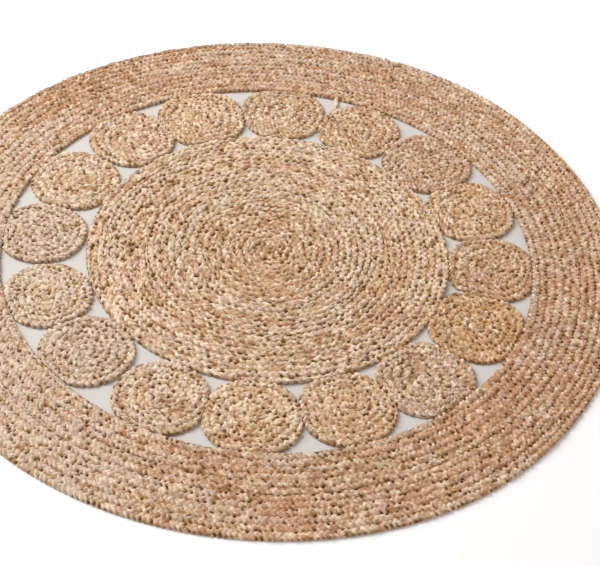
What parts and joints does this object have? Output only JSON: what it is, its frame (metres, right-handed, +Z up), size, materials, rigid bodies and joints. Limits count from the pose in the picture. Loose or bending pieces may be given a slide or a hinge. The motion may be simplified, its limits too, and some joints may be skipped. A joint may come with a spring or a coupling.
{
  "type": "round jute rug",
  "caption": "Round flat rug of wound jute braid: a centre disc, a ring of small coiled medallions with open corners between them, and a wide border.",
  "frame": {"origin": "centre of the underside, on the plane that the rug lies on", "axes": "+Z up out of the pile side, +Y towards the first medallion, +X to the right of it"},
  "size_m": [1.2, 1.2, 0.009],
  "materials": {
    "disc_jute": "dry matt jute braid, straw with tan patches",
    "border_jute": "dry matt jute braid, tan with redder lengths",
    "straw_jute": "dry matt jute braid, pale straw",
    "golden_jute": "dry matt jute braid, golden tan",
    "tan_jute": "dry matt jute braid, tan",
    "brown_jute": "dry matt jute braid, greyish brown"
  },
  "bodies": {
    "root": {"centre_disc": "disc_jute", "border": "border_jute", "medallion_01": "straw_jute", "medallion_02": "golden_jute", "medallion_03": "brown_jute", "medallion_04": "golden_jute", "medallion_05": "tan_jute", "medallion_06": "golden_jute", "medallion_07": "brown_jute", "medallion_08": "straw_jute", "medallion_09": "golden_jute", "medallion_10": "tan_jute", "medallion_11": "brown_jute", "medallion_12": "straw_jute", "medallion_13": "brown_jute", "medallion_14": "straw_jute", "medallion_15": "tan_jute", "medallion_16": "straw_jute"}
  },
  "joints": []
}
